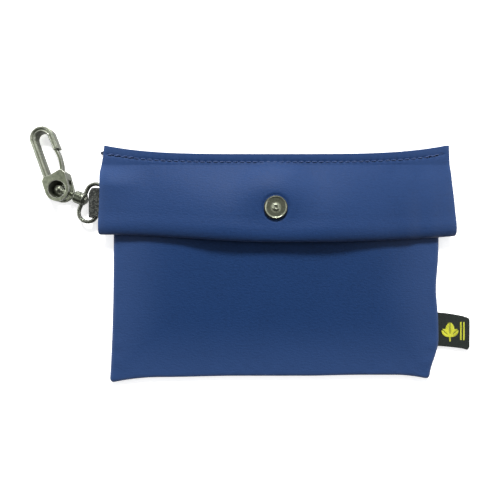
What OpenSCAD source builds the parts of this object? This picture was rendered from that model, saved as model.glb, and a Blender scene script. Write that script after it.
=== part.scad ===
/* [Pouch] */
// Half width of the pouch at its side seams
body_half_w = 85; // [80:1:88]
// Distance from the origin down to the bottom seam
body_bottom = 58.2; // [50:1:60]
// Height of the mouth, the free top edge of the front panel, above the origin
mouth_y = 39.5; // [38:0.5:41]
// Thickness of one layer of the coated fabric
leather_t = 1.0; // [0.8:0.05:1.1]
// Height of the outer face of the front panel at its middle
body_z = 6.35; // [6.2:0.05:6.6]
// Thickness of the turned seams round the edge
seam_z = 3.6; // [3.4:0.1:3.9]

/* [Flap] */
// Height of the line that the flap folds on, above the origin
hinge_y = 51.9; // [51:0.1:52.2]
// Height of the lower face of the flap where it is snapped shut
flap_snap_z = 9.4; // [9.4:0.1:10]
// Height of the flap's top edge above the origin, at its middle
flap_top_y = 58.1; // [57:0.1:59]
// Rise of the top edge from the middle to its corners
flap_top_rise = 4.1; // [3:0.1:5]
// Height of the flap's folded lower edge above the origin, at its middle
flap_bottom_y = 11.7; // [10:0.1:13]

/* [Snap] */
// Distance of the snap from the origin, across
snap_x = -0.7; // [-1:0.1:1]
// Height of the snap above the origin
snap_y = 29.0; // [28:0.1:30]
// Diameter of the snap's cap
cap_d = 12; // [11:0.5:13]

/* [Strap and ring] */
// Width of the webbing strap
strap_w = 15.2; // [14:0.1:15.4]
// Thickness of the webbing
strap_t = 0.8; // [0.7:0.05:0.85]
// Diameter of the ring's wire
wire_d = 2.0; // [1.8:0.1:2]
// Tilt of the ring's long axis from the strap's fold
ring_tilt = 22; // [21:0.5:23]

/* [Hook] */
// Lean of the hook to the left of upright
hook_lean = 16; // [12:1:20]
// Thickness of the hook's hub
hub_t = 6.4; // [6.2:0.1:6.5]
// Radius of the round window in the hub
window_r = 4.4; // [4.35:0.05:4.5]
// Radius of the window's narrow lower end, which the ball sits on
seat_r = 2.3; // [2.2:0.05:2.4]
// Diameter of the ball on the swivel pin
ball_d = 5.2; // [5:0.1:5.2]

/* [Label] */
// Length of the label that stands out of the side seam
label_len = 16.8; // [14:0.2:17]
// Width of the label's ribbon
label_w = 17.6; // [16:0.2:18]

/* [Hidden] */
$fn = 48;
leather = [0.16, 0.25, 0.46];
leather_light = [0.24, 0.33, 0.53];
thread = [0.13, 0.18, 0.36];
gunmetal = [0.42, 0.43, 0.36];
webbing = [0.29, 0.30, 0.28];
ribbon = [0.15, 0.17, 0.16];
gold = [0.78, 0.76, 0.20];
eps = 0.01;
gap = 0.03;

// ---- Shared functions ----
function mix(a, b, t) = a + (b - a) * t;
function clamp01(t) = min(1, max(0, t));
function smooth(t) = let (s = clamp01(t)) s * s * (3 - 2 * s);
function steps(n) = [for (i = [0:n]) i / n];

// The points of a grid, row after row
function flat(grid) = [for (row = grid, p = row) p];

// A closed sheet between two grids of points of the same size. Grid a is its
// outer face and grid b its inner face, and the rows run the same way in both.
module sheet(a, b) {
    rows = len(a);
    cols = len(a[0]);
    n = rows * cols;
    function at(r, c) = r * cols + c;
    faces = [
        for (r = [0:rows - 2], c = [0:cols - 2]) each [
            [at(r, c), at(r + 1, c), at(r + 1, c + 1)],
            [at(r, c), at(r + 1, c + 1), at(r, c + 1)],
            [n + at(r, c), n + at(r + 1, c + 1), n + at(r + 1, c)],
            [n + at(r, c), n + at(r, c + 1), n + at(r + 1, c + 1)]],
        for (r = [0:rows - 2]) each [
            [at(r, 0), n + at(r + 1, 0), at(r + 1, 0)],
            [at(r, 0), n + at(r, 0), n + at(r + 1, 0)],
            [at(r, cols - 1), at(r + 1, cols - 1), n + at(r + 1, cols - 1)],
            [at(r, cols - 1), n + at(r + 1, cols - 1), n + at(r, cols - 1)]],
        for (c = [0:cols - 2]) each [
            [at(0, c), at(0, c + 1), n + at(0, c + 1)],
            [at(0, c), n + at(0, c + 1), n + at(0, c)],
            [at(rows - 1, c), n + at(rows - 1, c + 1), at(rows - 1, c + 1)],
            [at(rows - 1, c), n + at(rows - 1, c), n + at(rows - 1, c + 1)]]];
    polyhedron(points = concat(flat(a), flat(b)), faces = faces);
}

// ---- Outline of the pouch ----
// The left side bows out to its lower corner, and the right one draws in to its own
function body_left(y) = -body_half_w - 2.1 * pow(clamp01((16 - y) / 76), 2.4);
function body_right(y) = body_half_w + 0.4 - 4.8 * smooth((-36 - y) / 22)
    - 1.3 * exp(-pow((y + 11) / 12, 2));
function body_low(x) = -body_bottom - 0.7 * smooth((-x - 20) / 40) + 0.5 * smooth((x - 15) / 30)
    - 2.6 * pow(max(0, (-x - 60) / 25), 2) - 1.9 * pow(max(0, (x - 62) / 17), 2);

// A point of the pouch at s across from left to right and t up from the seam to y_top
function body_xy(s, t, y_top) =
    let (y0 = mix(-body_bottom - 0.6, y_top, t), x = mix(body_left(y0), body_right(y0), s))
    [x, mix(body_low(x), y_top, t)];

// Height of the front panel's outer face, d from the nearest seam
roll_w = 2.2;
rim_w = 5.5;
function edge_roll(d) = leather_t + 0.2
    + (seam_z - leather_t - 0.2) * sqrt(1 - pow(1 - clamp01(d / roll_w), 2));
function front_z(x, d_side, d_low) =
    let (side = smooth((d_side - 4) / 34), low = smooth((d_low - 4) / 30))
    edge_roll(min(d_side, d_low)) + (body_z - seam_z) * side * low;

// ---- Outline of the flap ----
function flap_top(x) = flap_top_y + flap_top_rise * pow(abs(x) / 89.5, 4);
flap_low_left = -91.8;
flap_low_right = 92.8;
function flap_left(y) = flap_low_left + 1.9 * pow(clamp01((y - 16) / 46), 1.5);
function flap_right(y) = flap_low_right - 2.2 * pow(clamp01((y - 15) / 46.5), 0.8);
function flap_low(x) = flap_bottom_y + (x < 0
    ? 4.6 * (1 - cos(180 * clamp01(-x / 88))) / 2
    : 4.2 * pow(clamp01(x / 94), 2.4));

// Height of the flap's lower face. It rises from the fold line over the mouth,
// lies on the snap, and comes down to the seams at its sides. On the left it
// also clears the strap and the ring.
flap_t = 2 * leather_t + 0.2;
flap_end_y = hinge_y - 0.3;
flap_side_z = 4.1;
strap_mid_y = 32.3;
flap_strap_z = 6.3;
function flap_over_body(x, y) =
    let (over = 1 - smooth((abs(x) - 24) / 60), high = 8.9 + 0.5 * smooth((34 - y) / 8))
    mix(flap_side_z, high, over);
function flap_over_strap(x, y) =
    flap_strap_z * smooth((-x - 76) / 10) * (1 - smooth((abs(y - strap_mid_y) - 12.5) / 7));
function flap_free_z(x, y) = max(flap_over_body(x, y), flap_over_strap(x, y));
function flap_raised_z(x, y) =
    mix(leather_t + 0.15, flap_free_z(x, y), smooth((flap_end_y - y) / 11.2));
function flap_z(x, y) =
    mix(flap_snap_z, flap_raised_z(x, y), smooth((norm([x - snap_x, y - snap_y]) - 9.5) / 7));

// ---- Body panels ----
back_top_half_w = 88.2;
function back_left(y) = mix(body_left(y), -back_top_half_w, smooth((y - 42) / 10));
function back_right(y) = mix(body_right(y), back_top_half_w, smooth((y - 42) / 10));

function back_outline() = concat(
    [for (t = steps(22)) let (y = mix(flap_top(back_top_half_w) - 0.3, -body_bottom - 2.2, t)) [back_left(y), y]],
    [for (t = steps(24)) let (x = mix(-85.2, 79.4, t)) [x, body_low(x)]],
    [for (t = steps(22)) let (y = mix(-body_bottom + 0.6, flap_top(back_top_half_w) - 0.3, t)) [back_right(y), y]],
    [for (t = steps(20)) let (x = mix(86, -86, t)) [x, flap_top(x) - 0.3]]);

// The corner of the back layer that peeks out beside the flap's top left corner
module corner_tab() {
    translate([-92.8, 58.1, 0]) cube([5, 2, leather_t]);
}

stitch_inset = 4.2;
stitch_pitch = 3.45;
stitch_len = 2.5;
thread_d = 0.5;
groove_w = 1.2;
groove_h = 0.6;
function stitch_y(x) = flap_top(x) - stitch_inset;

module bobbin_groove() {
    xs = [for (t = steps(36)) mix(-89, 89, t)];
    band = concat([for (x = xs) [x, stitch_y(x) - groove_w / 2]],
        [for (i = [len(xs) - 1:-1:0]) [xs[i], stitch_y(xs[i]) + groove_w / 2]]);
    translate([0, 0, -eps]) linear_extrude(groove_h + eps) polygon(band);
}

module back_panel() {
    color(leather) difference() {
        union() {
            linear_extrude(leather_t) polygon(back_outline());
            corner_tab();
        }
        bobbin_groove();
    }
}

post_r = 1.0;
module post_hole(z, h) {
    translate([snap_x, snap_y, z]) cylinder(r = post_r + gap, h = h);
}

// Notches in the side seams that the strap's and the label's ends lie in
strap_x0 = -body_half_w + 12.5;
strap_notch_h = 2 * strap_t + 0.06;
label_x0 = body_half_w - 4;
label_y = -34;
label_notch_h = 0.9;
notch_out = 4;
notch_gap = 0.3;
module seam_notches() {
    translate([-body_half_w - notch_out, strap_mid_y - strap_w / 2 - gap, leather_t - eps])
        cube([strap_x0 + body_half_w + notch_out + notch_gap, strap_w + 2 * gap, strap_notch_h]);
    translate([label_x0 - notch_gap, label_y - label_w / 2 - gap, leather_t - eps])
        cube([body_half_w + notch_out - label_x0, label_w + 2 * gap, label_notch_h]);
}

module front_panel() {
    ss = [for (u = steps(34)) 0.5 + 0.5 * sin(180 * (u - 0.5))];
    ts = concat([0, 0.006, 0.014, 0.026, 0.045, 0.07], [for (t = steps(13)) mix(0.11, 1, t)]);
    outer = [for (s = ss) [for (t = ts)
        let (p = body_xy(s, t, mouth_y), d_side = min(p[0] - body_left(p[1]), body_right(p[1]) - p[0]),
            d_low = p[1] - body_low(p[0]))
        [p[0], p[1], front_z(p[0], max(0, d_side), max(0, d_low))]]];
    inner = [for (row = outer) [for (p = row)
        let (d = min(p[0] - body_left(p[1]), body_right(p[1]) - p[0], p[1] - body_low(p[0])))
        [p[0], p[1], d < rim_w ? leather_t : p[2] - leather_t]]];
    color(leather) difference() {
        sheet(outer, inner);
        post_hole(0, 20);
        seam_notches();
    }
}

// One straight stitch between two points
module stitch(a, b) {
    d = b - a;
    translate(a) rotate([0, 90, atan2(d[1], d[0])]) cylinder(d = thread_d, h = norm(d), $fn = 16);
}

// Stitches that close the side and bottom seams, laid along the inside of their allowances
module body_seam_thread() {
    z = leather_t + thread_d / 2 + gap;
    inset = rim_w + 2.6;
    strap_low = strap_mid_y - strap_w / 2;
    seam_low = -48;
    seam_high = 34;
    color(thread) {
        for (y = [seam_low:stitch_pitch:strap_low - stitch_pitch])
            stitch([body_left(y) + inset, y, z], [body_left(y) + inset, y + stitch_len, z]);
        for (y = [seam_low:stitch_pitch:seam_high])
            stitch([body_right(y) - inset, y, z], [body_right(y) - inset, y + stitch_len, z]);
        for (x = [-74:stitch_pitch:66])
            stitch([x, body_low(x) + inset, z], [x + stitch_len, body_low(x) + inset, z]);
    }
}

// ---- Flap ----
// The part of the flap's two layers that is sewn down on the back panel
module flap_sewn_edge() {
    y0 = hinge_y + 0.3;
    xs = [for (t = steps(36)) mix(flap_left(62), flap_right(62), t)];
    outline = concat([[flap_left(y0), y0]], [for (x = xs) [x, flap_top(x)]], [[flap_right(y0), y0]]);
    color(leather_light) translate([0, 0, leather_t]) linear_extrude(flap_t) polygon(outline);
}

// The flap is one sheet folded double along its lower edge. Its section runs down
// the lower layer, round the soft fold and back up the upper layer.
fold_r = 1.75;
fold_len = 7;
function flap_bulge(y, y_fold) = (2 * fold_r - flap_t) * (1 - smooth((y - y_fold) / fold_len));
function flap_span(x) = [for (t = steps(15)) mix(flap_end_y, flap_low(x) + fold_r, pow(t, 0.9))];
function flap_section(s, k) =
    let (x_mid = mix(flap_low_left, flap_low_right, s), span = flap_span(x_mid), y_fold = flap_low(x_mid) + fold_r,
        z_fold = flap_z(x_mid, y_fold) + fold_r, skin = k * leather_t, r = fold_r - skin)
    concat(
        [for (y = span) [y, flap_z(x_mid, y) + skin]],
        [for (a = [-120, -150, -180, -210, -240]) [y_fold + r * cos(a), z_fold + r * sin(a)]],
        [for (i = [len(span) - 1:-1:0]) let (y = span[i])
            [y, flap_z(x_mid, y) + flap_t + flap_bulge(y, y_fold) - skin]]);
function flap_grid(k) = [for (i = [0:36]) let (s = i / 36)
    [for (p = flap_section(s, k)) [mix(flap_left(p[0]), flap_right(p[0]), s), p[0], p[1]]]];

module flap() {
    color(leather_light) difference() {
        sheet(flap_grid(1), flap_grid(0));
        post_hole(0, 20);
    }
}

// Row of stitches along the flap's top edge, at height z
module stitch_row(z) {
    for (x = [-88.4:stitch_pitch:86.2])
        stitch([x, stitch_y(x), z], [x + stitch_len, stitch_y(x + stitch_len), z]);
}
module flap_needle_thread() {
    color(thread) stitch_row(leather_t + flap_t + thread_d / 2 + eps);
}
module flap_bobbin_thread() {
    color(thread) stitch_row(groove_h - thread_d / 2 - eps);
}

// ---- Snap fastener ----
stud_z = body_z + 0.01;
stud_flange_t = 0.6;
stud_head_z = 8.85;
socket_low_z = 7.15;
cap_z = flap_snap_z + flap_t + 0.01;

module at_snap() {
    translate([snap_x, snap_y, 0]) children();
}

// Male half: a flange with a waisted stud
module snap_stud() {
    color(gunmetal) at_snap() difference() {
        rotate_extrude() polygon([[0, stud_z], [4.9, stud_z], [5, stud_z + 0.2], [4.8, stud_z + stud_flange_t],
            [1.9, stud_z + stud_flange_t], [1.4, stud_z + stud_flange_t + 0.3], [1.4, 7.9], [1.75, 8.2],
            [1.7, 8.6], [1.2, stud_head_z], [0, stud_head_z]]);
        translate([0, 0, stud_z - eps]) cylinder(r = post_r + gap, h = 1.4);
    }
}

// The stud's rivet: a flat head inside the pouch and a shank through the panel
module snap_post() {
    color(gunmetal) at_snap() {
        translate([0, 0, body_z - leather_t - 0.55]) cylinder(r = 4.4, h = 0.5);
        translate([0, 0, body_z - leather_t - 0.1]) cylinder(r = post_r, h = leather_t + 1.4);
    }
}

// Female half under the flap, with an inner groove for its spring
module snap_socket() {
    color(gunmetal) at_snap() difference() {
        rotate_extrude() polygon([[1.95, socket_low_z], [3.3, socket_low_z], [3.7, socket_low_z + 0.3],
            [3.7, 8.6], [5, 8.75], [5.1, flap_snap_z - 0.2], [5, flap_snap_z - 0.01], [0, flap_snap_z - 0.01],
            [0, 9.0], [1.95, 9.0], [1.95, 8.5], [2.7, 8.4], [2.7, 7.6], [1.95, 7.5]]);
        translate([0, 0, 8.5]) cylinder(r = post_r + gap, h = 2);
    }
}

// Split ring of spring wire that grips the stud's waist
module snap_spring() {
    color([0.7, 0.7, 0.68]) at_snap() translate([0, 0, 8])
        rotate([0, 0, 20]) rotate_extrude(angle = 320) translate([2.15, 0]) circle(d = 0.5, $fn = 16);
}

// Cap with a rolled rim, a flat face and a small raised middle, on its own post
module snap_cap() {
    r = cap_d / 2;
    color(gunmetal) at_snap() {
        rotate_extrude() polygon([[0, cap_z], [r - 0.5, cap_z], [r - 0.1, cap_z + 0.3], [r, cap_z + 0.7],
            [r - 0.15, cap_z + 1.1], [r - 0.5, cap_z + 1.35], [r - 0.95, cap_z + 1.35], [r - 1.3, cap_z + 1.1],
            [r - 1.7, cap_z + 0.95], [2.0, cap_z + 1.0], [1.8, cap_z + 1.2], [1.3, cap_z + 1.55],
            [0.6, cap_z + 1.7], [0, cap_z + 1.75]]);
        translate([0, 0, 9.05]) cylinder(r = post_r, h = cap_z - 9.0);
    }
}

// ---- Strap ----
// The webbing leaves the side seam, goes round the ring and comes back. Its two ends
// lie in the seam and its loop bends down from there. Its upper corner is drawn in
// where the ring's wire passes it.
axis_z = hub_t / 2 + 0.2;
fold_x = -97.5;
fold_taper = 2.7;
loop_r = axis_z - leather_t;
loop_x = fold_x + loop_r;
strap_bend_x = -85.7;
strap_in_z = leather_t + 2 * strap_t + 0.02;
function strap_upper_z(x) = mix(strap_in_z, axis_z + loop_r, smooth((strap_bend_x - x) / 3.7));
function strap_top(x) = strap_mid_y + strap_w / 2 - fold_taper * smooth((-94.6 - x) / 2.6);
strap_xs = [strap_bend_x - 0.2, -86.5, -87.2, -87.9, -88.6, -89.4, -91, -93.5, loop_x];
function strap_section(k) =
    let (skin = k * strap_t)
    concat(
        [for (x = strap_xs) [x, leather_t + skin]],
        [for (a = [-112.5:-22.5:-247.5]) [loop_x + (loop_r - skin) * cos(a), axis_z + (loop_r - skin) * sin(a)]],
        [for (i = [len(strap_xs) - 1:-1:0]) [strap_xs[i], strap_upper_z(strap_xs[i]) - skin]]);
function strap_grid(k) = [
    [for (p = strap_section(k)) [p[0], strap_top(p[0]), p[1]]],
    [for (p = strap_section(k)) [p[0], strap_mid_y - strap_w / 2, p[1]]]];

module strap_loop() {
    color(webbing) sheet(strap_grid(1), strap_grid(0));
}

// The strap's two ends, one on the other, inside the side seam
module strap_tail() {
    length = strap_x0 - strap_bend_x - 0.2;
    color(webbing) for (layer = [0, 1])
        translate([strap_bend_x + 0.2, strap_mid_y - strap_w / 2, leather_t + layer * (strap_t + 0.02)])
            cube([length, strap_w, strap_t]);
}

// Dense stitches across both ends of the strap, inside the pouch
bartack_d = 0.3;
module strap_bartack() {
    color(thread) for (row = [0, 1], y = [-6.4:1.6:4.8])
        translate([strap_x0 - 0.6 - row * 1.1, strap_mid_y + y, strap_in_z + bartack_d / 2 + eps])
            rotate([-90, 0, 0]) cylinder(d = bartack_d, h = 1.3, $fn = 16);
}

// ---- Swivel ring ----
ring_x = -96;
ring_y = 32.35;
ring_r = 4.8;
ring_straight = 11;
ring_steps = 14;
ring_sides = 14;
barrel_r = 3.3;
barrel_out = 4.6;
barrel_in = 1.2;
pin_r = 1.3;
pin_clear = 0.05;
pin_head_t = 0.8;
pin_play = 0.06;

// Local frame of the ring: +X along the pin towards the hub, +Y along the ring
module in_ring() {
    translate([ring_x, ring_y, axis_z]) rotate([0, 0, 180 - ring_tilt]) children();
}
// Turns a shape's own axis onto +X
module along_x(x) {
    translate([x, 0, 0]) rotate([0, 90, 0]) children();
}

// Wire bent to a long oval: two half circles joined by straight sides
module ring_wire() {
    stations = [for (end = [1, -1], t = steps(ring_steps))
        let (a = 180 * t + (end > 0 ? 0 : 180)) [[cos(a), sin(a)], end * ring_straight / 2]];
    points = [for (s = stations, j = [0:ring_sides - 1])
        let (b = 360 * j / ring_sides, r = ring_r + wire_d / 2 * cos(b))
        [r * s[0][0], r * s[0][1] + s[1], wire_d / 2 * sin(b)]];
    n = len(stations);
    function at(i, j) = (i % n) * ring_sides + j % ring_sides;
    faces = [for (i = [0:n - 1], j = [0:ring_sides - 1]) each [
        [at(i, j), at(i, j + 1), at(i + 1, j + 1)],
        [at(i, j), at(i + 1, j + 1), at(i + 1, j)]]];
    polyhedron(points = points, faces = faces);
}

module swivel_ring() {
    color(gunmetal) in_ring() difference() {
        union() {
            ring_wire();
            along_x(ring_r - barrel_in) rotate_extrude() polygon([[0, 0], [2.5, 0], [barrel_r, 0.6],
                [barrel_r, barrel_in + barrel_out - 0.7], [barrel_r - 0.5, barrel_in + barrel_out],
                [0, barrel_in + barrel_out]]);
        }
        along_x(ring_r - barrel_in - 1) cylinder(r = pin_r + pin_clear, h = 10);
    }
}

// ---- Swivel pin ----
// A shank through the ring's barrel, with a riveted head inside the ring and a
// ball inside the hook's hub
ball_x = ring_r + 13.1;
module swivel_pin() {
    neck_x = ring_r + barrel_out + pin_play;
    head_x = ring_r - barrel_in - pin_play - pin_head_t;
    color(gunmetal) in_ring() {
        along_x(head_x) cylinder(r1 = 1.6, r2 = 2.0, h = pin_head_t);
        along_x(head_x + pin_head_t / 2) cylinder(r = pin_r, h = neck_x - head_x + 0.1);
        along_x(neck_x) cylinder(r1 = 1.9, r2 = 1.5, h = 1.0);
        along_x(neck_x + 0.9) cylinder(r = 1.5, h = ball_x - neck_x - 1);
        translate([ball_x, 0, 0]) sphere(d = ball_d);
    }
}

// ---- Hook ----
// Local frame of the hook: origin in the middle of the hub's window, +Y to the bow
bow_out = 6.35;
bow_in = 3.15;
bow_x = 1.05;
bow_y = 27.8;
bow_lean = 4;
bow_angle = 178;
bar_t = 4.4;
bar_w = bow_out - bow_in;
groove_r = 0.5;
bar_inset = 0.04;
nose_len = 7.8;
plate_t = 1.45;
gate_play = 0.3;
pocket_w = 3.05;
hub_w = 12.4;
module in_hook() {
    in_ring() translate([ball_x, 0, 0]) rotate([0, 0, hook_lean + ring_tilt - 180]) children();
}
// Section of the bar and bow, with rounded edges and a shallow groove along its front
// and back, drawn smaller all round by inset
module bar_section(inset) {
    r = 0.9;
    x0 = bow_in + inset;
    w = bar_w - 2 * inset;
    t = bar_t - 2 * inset;
    difference() {
        union() {
            translate([x0 + r, -t / 2]) square([w - 2 * r, t]);
            translate([x0, -t / 2 + r]) square([w, t - 2 * r]);
            for (x = [x0 + r, x0 + w - r], z = [-1, 1])
                translate([x, z * (t / 2 - r)]) circle(r = r, $fn = 24);
        }
        for (z = [-1, 1])
            translate([bow_in + bar_w * 0.45, z * (bar_t / 2 + 0.1)]) circle(r = groove_r + inset, $fn = 16);
    }
}
// Straight piece of the same section, from y0 up to y1
module straight(y0, y1, inset) {
    translate([0, y1, 0]) rotate([90, 0, 0]) linear_extrude(y1 - y0) bar_section(inset);
}

// Round below and nearly square above, with its top edge rising to the gate
hub_arc = [for (t = steps(28)) let (a = -180 * t) hub_w / 2 * [cos(a), sin(a)]];
module hub_outline() {
    polygon(concat([[-6.4, 5.9], [-4.9, 7.7], [-1.2, 8.0], [3.6, 9.3], [4.9, 9.1], [6.3, 7.2]], hub_arc));
}
// Slot between the hub's two plates: from the right side round to just past straight down
module neck_slot() {
    t = hub_t - 2 * plate_t;
    translate([0, 0, -t / 2]) linear_extrude(t)
        polygon([[0, 0], [12, 7.4], [12, -12], [-6.4, -12], [-3.6, -4]]);
}
// Pocket in the nose's inner side for the gate's tip
module nose_pocket() {
    translate([bow_in - 1, -9, -gate_w / 2 - gate_play]) cube([pocket_w, 5.2, gate_w + 2 * gate_play]);
}

module hook_frame() {
    color(gunmetal) in_hook() {
        difference() {
            translate([0, 0, -hub_t / 2]) linear_extrude(hub_t) hub_outline();
            translate([0, 0, plate_t - hub_t / 2]) cylinder(r = window_r, h = hub_t);
            translate([0, 0, -hub_t]) cylinder(r = seat_r, h = hub_t);
            neck_slot();
            gate_arc(gate_play);
        }
        rotate([0, 0, bow_lean]) translate([bow_x, bow_y, 0]) {
            rotate([0, 0, 180]) straight(-0.4, bow_y - 5.2, bar_inset);
            rotate([0, 0, 180 - bow_angle]) {
                rotate_extrude(angle = bow_angle) bar_section(0);
                difference() {
                    straight(-nose_len, 0.4, bar_inset);
                    nose_pocket();
                }
            }
        }
    }
}

// Leaf of spring steel: it stands in the hub's top corner and bows out to the nose
gate_w = 2.6;
gate_t = 1.5;
gate_r = 19;
gate_mid = [5.3, 15.4];
gate_lean = 2;
gate_root_angle = 25;
gate_tip_angle = 21;
module gate_arc(extra) {
    rotate([0, 0, gate_lean]) translate([gate_mid[0] - gate_r, gate_mid[1], 0])
        rotate([0, 0, -gate_root_angle - 2 * extra]) rotate_extrude(angle = gate_root_angle + gate_tip_angle)
            translate([gate_r - gate_t / 2 - extra, -gate_w / 2 - extra])
                square([gate_t + 2 * extra, gate_w + 2 * extra]);
}
module hook_gate() {
    color(gunmetal) in_hook() gate_arc(0);
}

// ---- Label ----
// A ribbon folded in two, with both ends caught in the side seam
label_t = 0.3;
label_bend_x = body_half_w + 0.65;
label_fold_x = body_half_w + 0.2 + label_len;
label_fold_r = 0.5;
label_z = leather_t + 0.05;
label_in_t = 2 * label_t + 0.02;
function label_sag(x) = pow(clamp01((x - label_bend_x) / label_len), 1.5);
function label_section(k) =
    let (skin = k * label_t, xs = [for (t = steps(8)) mix(label_bend_x + 0.4, label_fold_x - label_fold_r, t)],
        mid = label_z + label_fold_r)
    concat(
        [for (x = xs) [x, label_z + skin]],
        [for (a = [-120:-30:-240]) [label_fold_x - label_fold_r - (label_fold_r - skin) * cos(a),
            mid + (label_fold_r - skin) * sin(a)]],
        [for (i = [8:-1:0]) let (x = xs[i])
            [x, mix(label_z + label_in_t, label_z + 2 * label_fold_r, smooth((x - label_bend_x) / 5)) - skin]]);
function label_edge_y(x, side) = label_y + side * label_w / 2 - (side > 0 ? 3.3 : 1.9) * label_sag(x);
function label_grid(k) = [for (j = [0:4]) let (t = j / 4)
    [for (p = label_section(k)) [p[0], mix(label_edge_y(p[0], 1), label_edge_y(p[0], -1), t), p[1]]]];

module label_ribbon() {
    color(ribbon) sheet(label_grid(0), label_grid(1));
}

// The ribbon's two ends, one on the other, inside the side seam
module label_tail() {
    color(ribbon) for (layer = [0, 1])
        translate([label_x0, label_y - label_w / 2, label_z + layer * (label_t + 0.02)])
            cube([label_bend_x - 0.3 - label_x0, label_w, label_t]);
}

// Raised threads of the woven motif: a plain leaf and a border line
module label_motif() {
    color(gold) translate([body_half_w + 8.6, label_y - 1.2, label_z + 2 * label_fold_r + 0.01])
        linear_extrude(0.12) {
            difference() {
                intersection() {
                    translate([-2.2, 0]) circle(r = 4.4);
                    translate([2.2, 0]) circle(r = 4.4);
                }
                translate([-0.25, -4]) square([0.5, 6.4]);
            }
            translate([-0.25, -5.6]) square([0.5, 2.2]);
        }
}

back_panel();
front_panel();
body_seam_thread();
flap_sewn_edge();
flap();
flap_needle_thread();
flap_bobbin_thread();
snap_cap();
snap_socket();
snap_spring();
snap_stud();
snap_post();
strap_tail();
strap_loop();
strap_bartack();
swivel_ring();
swivel_pin();
hook_frame();
hook_gate();
label_tail();
label_ribbon();
label_motif();
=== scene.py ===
import math

import bmesh
import bpy
import numpy as np
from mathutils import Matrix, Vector


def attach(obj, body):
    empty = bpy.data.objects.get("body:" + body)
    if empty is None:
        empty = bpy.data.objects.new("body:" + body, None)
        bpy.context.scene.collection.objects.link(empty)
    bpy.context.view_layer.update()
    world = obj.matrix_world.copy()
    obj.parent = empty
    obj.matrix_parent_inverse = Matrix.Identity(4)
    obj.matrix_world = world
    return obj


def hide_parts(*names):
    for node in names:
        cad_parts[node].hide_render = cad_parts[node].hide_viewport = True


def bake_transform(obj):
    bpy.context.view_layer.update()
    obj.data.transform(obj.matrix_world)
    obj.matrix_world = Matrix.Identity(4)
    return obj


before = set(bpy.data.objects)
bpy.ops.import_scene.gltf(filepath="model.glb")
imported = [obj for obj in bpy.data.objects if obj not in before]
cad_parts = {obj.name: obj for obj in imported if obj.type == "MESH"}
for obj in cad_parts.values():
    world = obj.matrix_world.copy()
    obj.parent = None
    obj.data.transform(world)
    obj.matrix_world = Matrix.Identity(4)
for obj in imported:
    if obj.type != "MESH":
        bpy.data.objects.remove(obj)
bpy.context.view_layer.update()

# All shapes are worked out in millimetres, in the frame of the CAD model
MM = 0.001

# ---- Sizes shared with the CAD model ----
BODY_HALF_W = 85.0
BODY_BOTTOM = 58.2
MOUTH_Y = 39.5
LEATHER_T = 1.0
BODY_RISE = 2.75
HINGE_Y = 51.9
FLAP_TOP_Y = 58.1
FLAP_TOP_RISE = 4.1
FLAP_TOP_HALF_W = 89.5
FLAP_LOW_Y = 11.7
FLAP_LOW_LEFT = -91.8
FLAP_LOW_RIGHT = 92.8
FLAP_T = 2.2
SNAP = (-0.7, 29.0)
SNAP_FLAP_Z = 9.4
CAP_R = 6.0
STITCH_INSET = 4.2
STITCH_PITCH = 3.45
STITCH_LEN = 2.15
FIRST_HOLE_X = -88.4
LAST_HOLE_X = 87.0
STRAP_MID_Y = 32.3
STRAP_W = 15.2
STRAP_T = 0.8
STRAP_PICK = 1.4
STRAP_END_PITCH = 1.15
AXIS_Z = 3.4
STRAP_FOLD_X = -97.5
STRAP_BEND_X = -85.7
STRAP_END_X = -72.5
LABEL_Y = -34.0
LABEL_W = 17.6
LABEL_LEN = 16.8
LABEL_T = 0.3
LABEL_Z = 1.05
LABEL_BEND_X = 85.65
LABEL_END_X = 81.0
LABEL_FOLD_X = 102.2


# ---- Small functions on arrays ----
def mix(a, b, t):
    return a + (b - a) * t


def clamp01(t):
    return np.clip(t, 0.0, 1.0)


def smooth(t):
    s = clamp01(t)
    return s * s * (3 - 2 * s)


def bump(t, width):
    return np.exp(-(t / width) ** 2)


def from_edge(limit, step, first=(0.0, 0.01, 0.05, 0.12, 0.22, 0.4, 0.7)):
    """Distances from a cut edge up to limit, close together at the edge."""
    start = [d for d in first if d < limit]
    return np.array(start + list(np.arange(start[-1] + step, limit, step)))


def between_edges(length, step):
    """Places from 0 to length, close together at both ends."""
    near = from_edge(length / 2, step)
    return np.concatenate([near, (length - near)[::-1]])


def edge_round(distance, thickness, reach=0.3):
    """Half thickness of a sheet at a distance from its rounded cut edge."""
    t = 1 - clamp01(distance / reach)
    return thickness / 2 * (1 - t ** 3) ** (1 / 3)


# ---- Outlines, as in the CAD model ----
def body_left(y):
    """Left side of the panels: straight, then flared out towards the bottom corner."""
    flare, flare_top, flare_height = 2.1, 16, 76
    return -BODY_HALF_W - flare * clamp01((flare_top - y) / flare_height) ** 2.4


def body_right(y):
    """Right side of the panels: a shallow waist, and the bottom corner pulled in."""
    outward, corner_in, waist = 0.4, 4.8, 1.3
    waist_y, waist_reach = -11, 12
    corner = corner_in * smooth((-36 - y) / 22)
    return BODY_HALF_W + outward - corner - waist * bump(y - waist_y, waist_reach)


def body_low(x):
    """Bottom seam: slightly slanted, with both corners drawn down."""
    left_drop, right_rise = 0.7, 0.5
    left_corner, right_corner = 2.6, 1.9
    slant = -left_drop * smooth((-x - 20) / 40) + right_rise * smooth((x - 15) / 30)
    left = np.maximum(0, (-x - 60) / 25)
    right = np.maximum(0, (x - 62) / 17)
    return -BODY_BOTTOM + slant - left_corner * left ** 2 - right_corner * right ** 2


def flap_top(x):
    """Sewn top edge, which rises to both corners."""
    return FLAP_TOP_Y + FLAP_TOP_RISE * (np.abs(x) / FLAP_TOP_HALF_W) ** 4


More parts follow.
